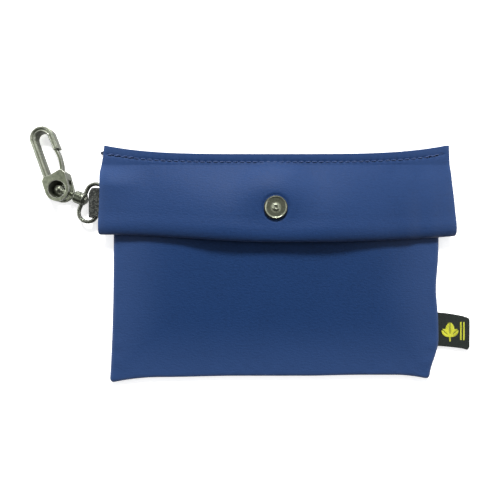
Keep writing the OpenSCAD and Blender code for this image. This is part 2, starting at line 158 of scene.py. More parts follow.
def flap_left(y):
    """Left cut side of the flap, drawn in below the stitches and at the fold."""
    taper, drawn_in = 1.9, 0.8
    straight = FLAP_LOW_LEFT + taper * clamp01((y - 16) / 46) ** 1.5
    return straight + drawn_in * smooth((48 - y) / 10) - drawn_in * bump(y - 51, 5)


def flap_right(y):
    taper = 2.2
    return FLAP_LOW_RIGHT - taper * clamp01((y - 15) / 46.5) ** 0.8


def flap_low(x):
    """Folded lower edge, lowest in the middle."""
    left_rise, right_rise = 3.9, 3.4
    left = left_rise * (1 - np.cos(np.pi * clamp01(-x / 88))) / 2
    right = right_rise * clamp01(x / 94) ** 2.4
    return FLAP_LOW_Y + np.where(x < 0, left, right)


def stitch_y(x):
    return flap_top(x) - STITCH_INSET


# ---- Meshes ----
def build(name, points, faces, shade_smooth=True):
    mesh = bpy.data.meshes.new(name)
    mesh.from_pydata((np.asarray(points, float) * MM).tolist(), [], faces)
    mesh.validate()
    work = bmesh.new()
    work.from_mesh(mesh)
    bmesh.ops.recalc_face_normals(work, faces=work.faces)
    work.to_mesh(mesh)
    work.free()
    mesh.polygons.foreach_set("use_smooth", np.full(len(mesh.polygons), shade_smooth))
    obj = bpy.data.objects.new(name, mesh)
    bpy.context.scene.collection.objects.link(obj)
    return obj


def set_numbers(obj, name, values):
    """Stores one number or one vector for each vertex of a mesh."""
    values = np.asarray(values, np.float32)
    vector = values.ndim == 2
    kind = "FLOAT_VECTOR" if vector else "FLOAT"
    attribute = obj.data.attributes.new(name, kind, "POINT")
    attribute.data.foreach_set("vector" if vector else "value", values.ravel())


def grid_normals(grid):
    across = np.gradient(grid, axis=0)
    along = np.gradient(grid, axis=1)
    normal = np.cross(across, along)
    return normal / np.maximum(np.linalg.norm(normal, axis=2, keepdims=True), 1e-12)


def quads(index):
    a, b = index[:-1, :-1].ravel(), index[1:, :-1].ravel()
    c, d = index[1:, 1:].ravel(), index[:-1, 1:].ravel()
    return np.stack([a, b, c, d], 1).tolist()


def sheet_mesh(name, middle, half, cloth, wear=None):
    """A closed sheet of fabric round a grid of middle points. half is its half
    thickness at each, and is 0 all round the rim, so that the two faces meet there.
    cloth gives each point's place in millimetres on the flat fabric."""
    rows, cols = half.shape
    normal = grid_normals(middle)
    outer = middle + normal * half[..., None]
    inner = middle - normal * half[..., None]
    outer_index = np.arange(rows * cols).reshape(rows, cols)
    inner_index = outer_index.copy()
    inside = (rows - 2) * (cols - 2)
    inner_index[1:-1, 1:-1] = rows * cols + np.arange(inside).reshape(rows - 2, cols - 2)
    points = np.concatenate([outer.reshape(-1, 3), inner[1:-1, 1:-1].reshape(-1, 3)])
    faces = quads(outer_index) + [f[::-1] for f in quads(inner_index)]
    obj = build(name, points, faces)

    def both(outer_values, inner_values):
        return np.concatenate([outer_values.reshape(rows * cols, -1),
                               inner_values[1:-1, 1:-1].reshape(inside, -1)])

    flat = np.dstack([cloth[0], cloth[1], np.zeros_like(half)])
    set_numbers(obj, "cloth", both(flat, flat + np.array([0, 0, 40.0])))
    rim = 1 - clamp01(half / half.max())
    set_numbers(obj, "rim", both(rim, rim)[:, 0])
    set_numbers(obj, "inside", both(np.zeros_like(half), np.ones_like(half))[:, 0])
    # the pale mask (painted sheen and light, partly wear) goes on the outer face only
    lit_and_worn = np.zeros_like(half) if wear is None else wear
    set_numbers(obj, "wear", both(lit_and_worn, lit_and_worn * 0)[:, 0])
    return obj


def tube_points(path, radius, sides, side_hint, ripple=None):
    """Rings of points round a path. radius may change along it."""
    path = np.asarray(path, float)
    tangent = np.gradient(path, axis=0)
    tangent /= np.linalg.norm(tangent, axis=1, keepdims=True)
    side = np.cross(tangent, np.asarray(side_hint, float))
    side /= np.linalg.norm(side, axis=1, keepdims=True)
    other = np.cross(side, tangent)
    angle = np.linspace(0, 2 * np.pi, sides, endpoint=False)
    r = np.broadcast_to(radius, len(path))[:, None] * np.ones(sides)
    if ripple is not None:
        r = r * ripple(np.arange(len(path))[:, None], angle[None, :])
    return (path[:, None] + side[:, None] * (r * np.cos(angle))[..., None]
            + other[:, None] * (r * np.sin(angle))[..., None])


def tube_faces(rings, sides, first):
    index = first + np.arange(rings * sides).reshape(rings, sides)
    wrapped = np.concatenate([index, index[:, :1]], axis=1)
    ends = [index[0].tolist(), index[-1][::-1].tolist()]
    return quads(wrapped) + ends


def tubes(name, paths, radius, sides, side_hint, ripple=None):
    """Many short tubes with closed ends in one mesh."""
    points, faces, tint, count = [], [], [], 0
    for number, path in enumerate(paths):
        rings = tube_points(path, radius, sides, side_hint, ripple)
        points.append(rings.reshape(-1, 3))
        faces += tube_faces(len(path), sides, count)
        tint.append(np.full(len(path) * sides, (number * 0.618) % 1.0))
        count += len(path) * sides
    obj = build(name, np.concatenate(points), faces)
    set_numbers(obj, "tint", np.concatenate(tint))
    return obj


def lathe(name, profile, centre, sides=160):
    """A turned piece. profile is (radius, height) from the axis out and back to it."""
    profile = np.asarray(profile, float)
    ring = profile[1:-1]
    angle = np.linspace(0, 2 * np.pi, sides, endpoint=False)
    points = [(centre[0] + r * math.cos(a), centre[1] + r * math.sin(a), z)
              for r, z in ring for a in angle]
    points += [(centre[0], centre[1], profile[0][1]), (centre[0], centre[1], profile[-1][1])]
    index = np.arange(len(ring) * sides).reshape(len(ring), sides)
    wrapped = np.concatenate([index, index[:, :1]], axis=1)
    bottom, top = len(ring) * sides, len(ring) * sides + 1
    faces = quads(wrapped)
    for k in range(sides):
        faces.append([bottom, int(wrapped[0, k + 1]), int(wrapped[0, k])])
        faces.append([top, int(wrapped[-1, k]), int(wrapped[-1, k + 1])])
    return build(name, points, faces)


def rounded_profile(corners, radius, steps=5):
    """Rounds the corners of an open line of (radius, height) points."""
    corners = [np.array(c, float) for c in corners]
    line = [corners[0]]
    for before, corner, after in zip(corners, corners[1:], corners[2:]):
        reach = min(radius, np.linalg.norm(before - corner) / 2.2, np.linalg.norm(after - corner) / 2.2)
        a = corner + (before - corner) / np.linalg.norm(before - corner) * reach
        b = corner + (after - corner) / np.linalg.norm(after - corner) * reach
        for t in np.linspace(0, 1, steps):
            line.append((1 - t) ** 2 * a + 2 * t * (1 - t) * corner + t ** 2 * b)
    line.append(corners[-1])
    return line


# how much darker the steep walls of cast pieces are painted: painted shade
WALL_PAINTED_SHADE = 0.78


def cast(name, node, voxel, rounds):
    """A cast or turned metal piece: a CAD node's shape with its edges softened. Its
    steep walls are painted darker than the faces above them: painted shade."""
    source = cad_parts[node]
    obj = bpy.data.objects.new(name, source.data.copy())
    obj.data.materials.clear()
    bpy.context.scene.collection.objects.link(obj)
    remesh = obj.modifiers.new("remesh", "REMESH")
    remesh.mode = "VOXEL"
    remesh.voxel_size = voxel * MM
    remesh.use_smooth_shade = True
    soften = obj.modifiers.new("soften", "SMOOTH")
    soften.factor = 0.5
    soften.iterations = rounds
    graph = bpy.context.evaluated_depsgraph_get()
    mesh = bpy.data.meshes.new_from_object(obj.evaluated_get(graph))
    obj.modifiers.clear()
    obj.data = mesh
    mesh.name = name
    mesh.polygons.foreach_set("use_smooth", np.ones(len(mesh.polygons), bool))
    normal = np.empty(len(mesh.vertices) * 3, np.float32)
    mesh.vertex_normals.foreach_get("vector", normal)
    upright = np.abs(normal.reshape(-1, 3)[:, 2])
    # painted shade: the steeper a face, the darker it is painted
    set_numbers(obj, "shade", WALL_PAINTED_SHADE * (1 - smooth((upright - 0.3) / 0.55)))
    return obj


# ---- Materials ----
class Graph:
    """A node material with one Principled shader, built a node at a time."""

    def __init__(self, name):
        self.material = bpy.data.materials.new(name)
        self.material.use_nodes = True
        self.nodes = self.material.node_tree.nodes
        self.links = self.material.node_tree.links
        self.shader = self.nodes["Principled BSDF"]

    def put(self, socket, value):
        if isinstance(value, bpy.types.NodeSocket):
            self.links.new(value, socket)
        elif hasattr(socket.default_value, "__len__") and len(socket.default_value) == 4:
            socket.default_value = (*value, 1.0)
        else:
            socket.default_value = value

    def add(self, kind, out=0, settings=None, **inputs):
        node = self.nodes.new("ShaderNode" + kind)
        for key, value in (settings or {}).items():
            setattr(node, key, value)
        for key, value in inputs.items():
            self.put(node.inputs[int(key[1:]) if key[0] == "i" else key], value)
        return node.outputs[out]

    def set(self, **inputs):
        for key, value in inputs.items():
            self.put(self.shader.inputs[key.replace("_", " ")], value)

    def attribute(self, name, out="Fac"):
        return self.add("Attribute", out=out, settings={"attribute_name": name})

    def cloth(self):
        return self.attribute("cloth", out="Vector")

    def place(self):
        return self.add("TexCoord", out="Object")

    def scaled(self, vector, scale):
        return self.add("VectorMath", settings={"operation": "MULTIPLY"}, i0=vector, i1=scale)

    def noise(self, vector, scale, detail=3.0, roughness=0.5):
        return self.add("TexNoise", Vector=vector, Scale=scale, Detail=detail, Roughness=roughness)

    def cells(self, vector, scale, feature="F1"):
        return self.add("TexVoronoi", settings={"feature": feature}, Vector=vector, Scale=scale)

    def math(self, operation, a, b=0.0, clamp=False):
        return self.add("Math", settings={"operation": operation, "use_clamp": clamp}, i0=a, i1=b)

    def spread(self, value, low, high, to_low=0.0, to_high=1.0):
        return self.add("MapRange", i0=value, i1=low, i2=high, i3=to_low, i4=to_high)

    def blend(self, share, first, second):
        node = self.nodes.new("ShaderNodeMix")
        node.data_type = "RGBA"
        self.put(node.inputs[0], share)
        self.put(node.inputs[6], first)
        self.put(node.inputs[7], second)
        return node.outputs[2]

    def relief(self, height, distance, strength=1.0, under=None):
        node = self.nodes.new("ShaderNodeBump")
        self.put(node.inputs["Height"], height)
        node.inputs["Distance"].default_value = distance * MM
        node.inputs["Strength"].default_value = strength
        if under is not None:
            self.put(node.inputs["Normal"], under)
        return node.outputs[0]


# how much of the paler grain and streaks shows on the fabric's face
GRAIN = 0.75


def times(colour, factor):
    return tuple(c * factor for c in colour)


def leather(name, colour, pale, lining):
    """Matte coated fabric: fine pebble grain and soft mottling, the pale colour where
    the mesh asks for it (painted sheen and light, partly edge wear), a dark cut edge and a brushed textile
    backing on its inside."""
    g = Graph(name)
    where = g.cloth()
    broad = g.spread(g.noise(where, 0.045, 2.0), 0.32, 0.68)
    fine = g.spread(g.noise(g.scaled(where, (0.5, 1.0, 1.0)), 1.1, 4.0, 0.65), 0.3, 0.7)
    streak = g.spread(g.noise(g.scaled(where, (0.10, 1.0, 1.0)), 0.7, 2.0), 0.3, 0.7)
    face = g.blend(broad, times(colour, 0.92), times(colour, 1.08))
    face = g.blend(g.math("MULTIPLY", fine, GRAIN), face, times(colour, 1.6))
    face = g.blend(g.math("MULTIPLY", streak, GRAIN), face, times(colour, 1.3))
    # painted sheen and light, partly edge wear: paler where the mesh marks it
    face = g.blend(g.attribute("wear"), face, pale)
    backing = g.blend(fine, times(lining, 0.8), lining)
    tone = g.blend(g.attribute("inside"), face, backing)
    cut_edge = g.math("MULTIPLY", g.spread(g.attribute("rim"), 0.55, 0.98), 0.6)
    tone = g.blend(cut_edge, tone, times(lining, 0.55))
    pebble = g.math("SUBTRACT", 1.0, g.cells(where, 1.5, "SMOOTH_F1"))
    pores = g.noise(where, 5.5, 3.0, 0.55)
    grain = g.relief(fine, 0.11, 0.6, g.relief(pores, 0.035, 0.4))
    normal = g.relief(pebble, 0.05, 0.35, grain)
    g.set(Base_Color=tone, Roughness=g.spread(fine, 0.0, 1.0, 0.48, 0.58), Normal=normal)
    g.set(Sheen_Weight=0.06, Sheen_Roughness=0.45)
    g.shader.inputs["Specular IOR Level"].default_value = 0.2
    return g.material


def metal(name, colour, dark, roughness, patch=420.0, lit_and_worn=(0.85, 0.87, 0.76)):
    """Blackened metal: cloudy patina, fine cast grain, dark recesses (partly black finish in the hollows,
    partly painted shade) and pale edges (painted highlight and rubbed wear).
    """
    g = Graph(name)
    where = g.place()
    cloud = g.spread(g.noise(where, patch, 4.0, 0.6), 0.34, 0.68)
    grit = g.noise(where, 2600.0, 3.0, 0.6)
    specks = g.spread(g.cells(where, 1500.0), 0.05, 0.3)
    tone = g.blend(cloud, dark, colour)
    tone = g.blend(g.math("MULTIPLY", g.math("SUBTRACT", 1.0, specks), 0.35), tone, dark)
    bend = g.add("NewGeometry", out="Pointiness")
    # painted highlight and rubbed wear: convex edges are laid on in a pale colour
    highlit_rubbed = g.spread(bend, 0.504, 0.528)
    edge = g.math("MULTIPLY", highlit_rubbed, g.spread(grit, 0.2, 0.5), clamp=True)
    tone = g.blend(g.math("MULTIPLY", edge, 0.8), tone, lit_and_worn)
    # darkened recesses: partly black finish in the hollows, partly painted shade
    recess = g.math("MULTIPLY", g.spread(bend, 0.49, 0.45), 0.75)
    # the shade attribute adds painted shade, on steep walls and round the snap cap
    black = g.math("MAXIMUM", recess, g.attribute("shade"))
    tone = g.blend(black, tone, times(dark, 0.08))
    rough = g.spread(cloud, 0.0, 1.0, roughness + 0.14, roughness)
    normal = g.relief(grit, 0.02, 0.3, g.relief(cloud, 0.03, 0.3))
    g.set(Base_Color=tone, Metallic=g.math("SUBTRACT", 1.0, black), Roughness=rough, Normal=normal)
    g.shader.inputs["Specular IOR Level"].default_value = 0.2
    return g.material


def yarn(name, colour, pale, fibre_scale=9000.0):
    """Spun thread: fine fibres and a slight change of shade from stitch to stitch."""
    g = Graph(name)
    fibres = g.noise(g.place(), fibre_scale, 3.0, 0.6)
    tone = g.blend(g.spread(fibres, 0.35, 0.7), colour, pale)
    tone = g.blend(g.math("MULTIPLY", g.attribute("tint"), 0.25), tone, colour)
    g.set(Base_Color=tone, Roughness=0.55, Normal=g.relief(fibres, 0.04, 0.6))
    g.set(Sheen_Weight=0.25)
    return g.material


def woven(name, dark, light, across, along, sheen):
    """Woven tape: warp and weft threads, each a little different in shade."""
    g = Graph(name)
    where = g.cloth()
    split = g.add("SeparateXYZ", out=0, Vector=where)
    warp = g.math("SINE", g.math("MULTIPLY", split, 2 * math.pi / across))
    weft_place = split.node.outputs[1]
    weft = g.math("SINE", g.math("MULTIPLY", weft_place, 2 * math.pi / along))
    cross = g.math("MULTIPLY", warp, weft)
    fleck = g.cells(g.scaled(where, (1 / across, 1 / along, 1.0)), 2.0)
    fleck_colour = fleck.node.outputs["Color"]
    shade = g.add("SeparateXYZ", out=0, Vector=fleck_colour)
    fluff = g.noise(where, 7.0, 4.0, 0.6)
    tone = g.blend(g.spread(shade, 0.45, 0.95), dark, light)
    tone = g.blend(g.math("MULTIPLY", fluff, 0.4), tone, dark)
    normal = g.relief(cross, 0.05, 0.5, g.relief(fluff, 0.04, 0.5))
    g.set(Base_Color=tone, Roughness=0.75, Normal=normal)
    g.set(Sheen_Weight=sheen)
    return g.material


# pale blue laid on as painted sheen and light, and for edge wear
SHEEN_WORN_BLUE = (0.035, 0.07, 0.18)
LINING = (0.045, 0.055, 0.08)
BODY_LEATHER = leather("body_leather", (0.0078, 0.0275, 0.091), SHEEN_WORN_BLUE, LINING)
FLAP_LEATHER = leather("flap_leather", (0.009, 0.0285, 0.092), SHEEN_WORN_BLUE, LINING)
THREAD = yarn("seam_thread", (0.019, 0.045, 0.14), (0.034, 0.076, 0.22))
# one gunmetal in three copies: the cap's is painted lighter and the ring's darker than the hook's, as
# painted light and shade
GUNMETAL = metal("gunmetal", (0.33, 0.36, 0.26), (0.19, 0.208, 0.15), 0.26, 500.0)
CAP_LIT_METAL = metal("cap_gunmetal_lit", (0.64, 0.68, 0.51), (0.25, 0.27, 0.19), 0.27, 700.0)
RING_SHADED_METAL = metal("ring_gunmetal_shaded", (0.2, 0.218, 0.165), (0.11, 0.12, 0.09), 0.22, 500.0)
SPRING = metal("spring_steel", (0.6, 0.6, 0.58), (0.45, 0.45, 0.43), 0.22)
WEBBING = woven("webbing", (0.012, 0.014, 0.012), (0.10, 0.105, 0.092), STRAP_END_PITCH, STRAP_PICK, 0.1)
RIBBON = woven("ribbon", (0.007, 0.0105, 0.008), (0.024, 0.032, 0.026), 0.45, 0.4, 0.05)
MOTIF = yarn("motif_thread", (0.46, 0.47, 0.012), (0.72, 0.74, 0.05))


def finish_piece(obj, material):
    obj.data.materials.clear()
    obj.data.materials.append(material)
    return obj


# ---- Turned seams ----
ROLL_FROM = 232
GROOVE_REACH = 0.8


def roll_path(steps, inward, up, down):
    """A turned seam's middle line, from the groove between the two panels out round
    the edge and up: (distance inward, height above the roll's own middle)."""
    angles = np.radians(np.linspace(ROLL_FROM, 90, steps))
    height = np.where(np.sin(angles) > 0, up, down) * np.sin(angles)
    return inward * (1 + np.cos(angles)), height


def corner_rounding(dx, dy, radius):
    """Turns the square corner of a pair of edge distances into a round one."""
    a, b = radius - dx, radius - dy
    inside = (a > 0) & (b > 0)
    longest = np.maximum(a, b)
    reach = np.hypot(a, b)
    k = np.where(inside, longest / np.maximum(reach, 1e-9), 1.0)
    return np.where(inside, radius - a * k, dx), np.where(inside, radius - b * k, dy)


def mirrored(values):
    """The values of one side of a panel, and the same from the other side back."""
    return np.concatenate([values, values[::-1]])


def from_groove(count, last=9.0):
    """Distances of a turned seam's grid lines from its cut edge, hidden in the groove."""
    return np.interp(np.arange(count), [0, 1, 2, 3], [0, 0.4, 0.8, last])


# ---- Front panel ----
FRONT_STEP = 1.0
ROLL_W = 2.2
ROLL_MID_Z = 2.3
ROLL_UP = 0.8
ROLL_DOWN = 0.35
ROLL_STEPS = 15
FRONT_CORNER_R = 2.4
MOUTH_BAND = 12.0


def front_puckers(along, d, phase):
    """Small ripples that a seam draws in the leather beside it."""
    height, from_seam, reach = 0.11, 3.4, 2.4
    wave = np.sin(along / 1.9 + 1.3 * np.sin(along / 7.3 + phase)) * np.sin(along / 23 + phase)
    return height * wave * bump(d - from_seam, reach)


def front_height(x, y, d_side, d_low):
    """Crown, seam puckers and slow waves of the front panel. The mouth's edge sags a
    little between the snap and the seams."""
    wave_height, mouth_sag = 0.16, 1.0
    crown = BODY_RISE * smooth((d_side - 4) / 40) * smooth((d_low - 4) / 84)
    puckers = front_puckers(y, d_side, 0.4) + front_puckers(x, d_low, 2.1)
    calm = smooth((np.minimum(d_side, d_low) - 5) / 12)
    waves = wave_height * np.sin(x / 17 + 0.6) * np.sin(y / 13 + 1.1) * calm
    sag = mouth_sag * smooth((y - 28) / 11) * smooth((np.abs(x - SNAP[0]) - 9) / 16)
    return crown + puckers + waves - sag


def make_front():
    roll_in, roll_up = roll_path(ROLL_STEPS, ROLL_W - LEATHER_T / 2, ROLL_UP, ROLL_DOWN)
    roll_in = roll_in + LEATHER_T / 2
    inner = np.arange(ROLL_W + 0.6, BODY_HALF_W, FRONT_STEP)
    in_left = np.concatenate([roll_in, inner])
    up_left = np.concatenate([roll_up, np.full(len(inner), roll_up[-1])])
    # columns run from the left groove to the right one
    d_col, up_col = mirrored(in_left), mirrored(up_left)
    left_side = np.arange(len(d_col)) < len(in_left)
    # rows run from the bottom groove up to the mouth
    depth = MOUTH_Y + BODY_BOTTOM
    top = from_edge(MOUTH_BAND, 0.7)
    middle_rows = np.arange(ROLL_W + 0.6, depth - MOUTH_BAND, FRONT_STEP)
    d_row = np.concatenate([roll_in, middle_rows, depth - top[::-1]])
    up_row = np.concatenate([roll_up, np.full(len(middle_rows) + len(top), roll_up[-1])])
    dx, dy = np.meshgrid(d_col, d_row, indexing="ij")
    dx, dy = corner_rounding(dx, dy, FRONT_CORNER_R)
    share_up = dy / depth
    y_guess = mix(-BODY_BOTTOM, MOUTH_Y, share_up)
    left, right = body_left(y_guess), body_right(y_guess)
    pull = (right - left - 2 * BODY_HALF_W) * (dx / (2 * BODY_HALF_W))
    x = np.where(left_side[:, None], left + dx + pull, right - dx - pull)
    low = body_low(x)
    y = low + dy * (MOUTH_Y - low) / depth
    z = ROLL_MID_Z + np.minimum(up_col[:, None], up_row[None, :]) + front_height(x, y, dx, dy)
    columns, rows = z.shape
    groove = from_groove(columns)
    groove = np.minimum(groove, groove[::-1])
    side = edge_round(groove, LEATHER_T, GROOVE_REACH)[:, None]
    bottom = edge_round(from_groove(rows), LEATHER_T, GROOVE_REACH)[None, :]
    half = np.minimum(np.minimum(side, bottom), edge_round(MOUTH_Y - y, LEATHER_T))
    nearest = np.minimum(dx, dy)
    # paler at the turned seam and over the outer 34 mm towards the sides and bottom: painted sheen and
    # light, partly wear at the turned edge
    wear = 0.5 * bump(nearest - 0.7, 0.8) + 0.46 * (1 - smooth(nearest / 34))
    return sheet_mesh("front_leather", np.dstack([x, y, z]), half, (x, y), clamp01(wear))


# ---- Back panel ----
BACK_STEP = 1.2
BACK_TOP_HALF_W = 88.2
BACK_ROLL_W = 1.3
BACK_ROLL_Z = 1.05
BACK_ROLL_UP = 0.55
BACK_ROLL_DOWN = 0.3
BACK_ROLL_STEPS = 11
BACK_CORNER_R = 2.2
BACK_TOP_BAND = 10.0
TOP_SETBACK = 0.3


def back_side(y, edge, top_x):
    """Side of the back panel: the pouch's own, and a little wider above the mouth."""
    return mix(edge, top_x, smooth((y - 42) / 10))


def back_tab(y):
    """The corner of the back layer that shows beside the flap's top left corner."""
    reach, low_y, high_y = 4.3, 57.9, 59.9
    return reach * smooth((y - low_y) / 0.5) * (1 - smooth((y - high_y) / 0.5))


def make_back():
    roll_in, roll_up = roll_path(BACK_ROLL_STEPS, BACK_ROLL_W - LEATHER_T / 2,
                                 BACK_ROLL_UP, BACK_ROLL_DOWN)
    roll_in = roll_in + LEATHER_T / 2
    roll_z = BACK_ROLL_Z - roll_up
    inner = np.arange(BACK_ROLL_W + 0.6, BODY_HALF_W, BACK_STEP)
    in_left = np.concatenate([roll_in, inner])
    z_left = np.concatenate([roll_z, np.full(len(inner), roll_z[-1])])
    # above the mouth the sides aren't turned, and the same columns lie flat
    flat_left = np.concatenate([np.linspace(0, roll_in[-1], len(roll_in)) ** 1.5, inner])
    d_col, z_col, flat_col = mirrored(in_left), mirrored(z_left), mirrored(flat_left)
    left_side = np.arange(len(d_col)) < len(in_left)
    depth = FLAP_TOP_Y + BODY_BOTTOM
    top = from_edge(BACK_TOP_BAND, 0.25)
    rows = np.arange(BACK_ROLL_W + 0.6, depth - BACK_TOP_BAND, BACK_STEP)
    d_row = np.concatenate([roll_in, rows, depth - top[::-1]])
    z_row = np.concatenate([roll_z, np.full(len(rows) + len(top), roll_z[-1])])
    dx, dy = np.meshgrid(d_col, d_row, indexing="ij")
    flat_dx = np.broadcast_to(flat_col[:, None], dx.shape)
    z = np.maximum(z_col[:, None], z_row[None, :])
    dx, dy = corner_rounding(dx, dy, BACK_CORNER_R)
    y_guess = mix(-BODY_BOTTOM, FLAP_TOP_Y, dy / depth)
    turned = 1 - smooth((y_guess - 36) / 5)
    dx = mix(flat_dx, dx, turned)
    z = mix(LEATHER_T / 2, z, turned)
    left = back_side(y_guess, body_left(y_guess), -BACK_TOP_HALF_W)
    right = back_side(y_guess, body_right(y_guess), BACK_TOP_HALF_W)
    pull = (right - left - 2 * BODY_HALF_W) * (dx / (2 * BODY_HALF_W))
    x = np.where(left_side[:, None], left + dx + pull, right - dx - pull)
    low, high = body_low(x), flap_top(x) - TOP_SETBACK
    y = low + dy * (high - low) / depth
    x = x - back_tab(y) * np.where(left_side[:, None], bump(dx, 2.2), 0)
    # the topstitching presses a groove into the back
    groove = bump(y - stitch_y(x), 0.6) * smooth((88 - np.abs(x)) / 2)
    middle = np.dstack([x, y, z + 0.22 * groove])
    half = np.minimum(LEATHER_T / 2, edge_round(flat_dx, LEATHER_T)) - 0.2 * groove
    half = np.minimum(half, edge_round(high - y, LEATHER_T))
    half = np.minimum(half, edge_round(from_groove(z.shape[1]), LEATHER_T, GROOVE_REACH)[None, :])
    half[0], half[-1], half[:, 0], half[:, -1] = 0, 0, 0, 0
    # paler along the turned edges: painted sheen, partly edge wear
    wear = clamp01(0.5 * bump(np.minimum(dx, dy) - 0.7, 0.8))
    # columns are turned round, so that the outer face looks down
    return sheet_mesh("back_leather", middle[::-1], half[::-1], (x[::-1], y[::-1]), wear[::-1])


# ---- Flap ----
FLAP_END_Y = HINGE_Y + 0.3
CREST_IN = 5.5
CREST_SIDE_Z = 7.2
CREST_MID_Z = 12.4
STRAP_LIFT_Z = 8.2
FOLD_REACH = 3.5
FOLD_DROOP = 1.0
LAYER_GAP = 0.6
FOLD_GAP = 0.5
FLAP_STEP = 0.5
SEWN_BAND = 8.6


def flap_top_face(x, y):
    """Height of the flap's upper face: it rises from the sewn edge to a crest beside
    the fold, lies over the strap at the left, is flat round the snap and is pressed
    in along the cap's edge."""
    over = 1 - smooth((np.abs(x) - 24) / 60)
    crest = mix(CREST_SIDE_Z, CREST_MID_Z, over)
    y_crest = flap_low(x) + CREST_IN
    t = clamp01((FLAP_END_Y - y) / (FLAP_END_Y - y_crest))
    z = LEATHER_T + FLAP_T + (crest - LEATHER_T - FLAP_T) * (1 - (1 - t) ** 1.8)
    strap = smooth((-x - 62) / 26) * smooth((FLAP_END_Y - y) / 12.5)
    z = z + np.maximum(STRAP_LIFT_Z - z, 0) * strap
    from_snap = np.hypot(x - SNAP[0], y - SNAP[1])
    z = mix(SNAP_FLAP_Z + FLAP_T, z, smooth((from_snap - 5) / 22))
    cap_groove = 0.45 * bump(from_snap - CAP_R - 0.35, 0.7)
    return z - cap_groove


def flap_waves(x, y):
    """Slow unevenness of the flap, calm at the sewn edge and round the snap."""
    slow = 0.2 * np.sin(x / 17 + 0.8) * np.sin(y / 8.5 + 0.4) + 0.1 * np.sin(x / 7.3 - y / 14)
    end = 0.3 * bump(x - 66, 5) + 0.25 * bump(x - 80, 3.5) - 0.2 * bump(x - 73, 3)
    calm = smooth((51 - y) / 8) * smooth((np.hypot(x - SNAP[0], y - SNAP[1]) - 7) / 8)
    return (slow + end) * calm


def stitch_holes():
    """Places of the needle's holes along the topstitching."""
    return np.arange(FIRST_HOLE_X, LAST_HOLE_X, STITCH_PITCH)


def stitch_dent(x, y):
    """Valley, needle holes and puckers of the topstitching on the upper face."""
    off = y - stitch_y(x)
    inside = smooth((FLAP_TOP_HALF_W + 0.1 - np.abs(x)) / 2)
    valley = 0.22 * bump(off, 0.9)
    nearest = (x - FIRST_HOLE_X + STITCH_PITCH / 2) % STITCH_PITCH - STITCH_PITCH / 2
    hole = 0.22 * bump(nearest, 0.45) * bump(off, 0.45)
    drawn = 0.09 * (1 + np.cos(2 * np.pi * nearest / STITCH_PITCH)) * bump(off, 2.4)
    uneven = 0.07 * np.sin(x / 3.1 + 1.7 * np.sin(x / 11)) * bump(off + 2.5, 3.0)
    return (valley + hole + drawn + uneven) * inside


def flap_layer(x, y, side):
    """Middle surface of the upper (side 1) or lower (side -1) layer of the flap."""
    from_edge_y = np.maximum(y - flap_low(x) - LEATHER_T / 2, 0)
    droop = FOLD_DROOP * (1 - clamp01(from_edge_y / 7)) ** 2
    centre = flap_top_face(x, y) - FLAP_T / 2 - droop + flap_waves(x, y)
    apart = LAYER_GAP + FOLD_GAP * (1 - smooth((from_edge_y - 3) / 9))
    closing = np.sqrt(1 - (1 - clamp01(from_edge_y / FOLD_REACH)) ** 2)
    return centre + side * apart * closing


def flap_rows(top_y, edge_y):
    """Rows of the folded sheet for each column: down the upper layer from the sewn
    edge, round the fold and back up the lower layer. Also says how many come before
    the fold's tip."""
    near_top = from_edge(SEWN_BAND, 0.3)
    near_fold = FOLD_REACH * (1 - np.cos(np.radians(np.linspace(90, 0, 13))))
    start, end = top_y - near_top[-1], edge_y + FOLD_REACH
    upper = [top_y - d for d in near_top]
    upper += [mix(start, end, f) for f in np.linspace(0, 1, 72)[1:-1]]
    upper += [edge_y + e for e in near_fold]
    lower = [edge_y + e for e in near_fold[-2::-1]]
    lower += [mix(end, start, f) for f in np.linspace(0, 1, 30)[1:-1]]
    lower += [top_y - d for d in near_top[::-1]]
    return np.stack(upper + lower, 1), len(upper)


def make_flap():
    width = FLAP_LOW_RIGHT - FLAP_LOW_LEFT
    s = between_edges(width, FLAP_STEP) / width
    x_mid = mix(FLAP_LOW_LEFT, FLAP_LOW_RIGHT, s)
    top_y = flap_top(np.clip(x_mid, -91, 91))
    edge_y = flap_low(x_mid) + LEATHER_T / 2
    y, upper_count = flap_rows(top_y, edge_y)
    upper = (np.arange(y.shape[1]) < upper_count)[None, :]
    x = mix(flap_left(y), flap_right(y), s[:, None])
    z = flap_layer(x, y, np.where(upper, 1, -1))
    z = z - np.where(upper, stitch_dent(x, y), 0)
    # the fold's corners are rounded, and the cut sides lean down a little
    side_in = (np.minimum(s, 1 - s) * width)[:, None]
    corner, lean = 0.8, 0.5
    nip = corner * (1 - np.sqrt(clamp01(1 - (1 - clamp01(side_in / corner)) ** 2)))
    y = y + nip * (1 - smooth((y - edge_y[:, None]) / 4.0))
    z = z - lean * bump(side_in, 2.6) * smooth((50 - y) / 10)
    end_in = np.abs(y - top_y[:, None])
    half = np.minimum(edge_round(side_in, LEATHER_T), edge_round(end_in, LEATHER_T))
    half[:, 0], half[:, -1], half[0], half[-1] = 0, 0, 0, 0
    centre = len(s) // 2
    length = np.concatenate([[0], np.cumsum(np.hypot(np.diff(y[centre]), np.diff(z[centre])))])
    along = np.broadcast_to(length[None, :], x.shape)
    fold = bump(y - edge_y[:, None] - 1.0, 1.6)
    # paler at the cut sides, near the fold, over the outer 34 mm of each end and along the sewn top edge:
    # painted light and sheen, with some wear at the fold
    wear = 0.3 * bump(side_in, 1.6) + 0.12 * fold + 0.22 * (1 - smooth(side_in / 34))
    wear = clamp01(wear + np.where(upper, 0.25 * bump(end_in, 2.6), 0))
    # columns are turned round, so that the outer face looks up
    middle = np.dstack([x, y, z])[::-1]
    return sheet_mesh("flap_leather", middle, half[::-1], (x[::-1], along), wear[::-1])


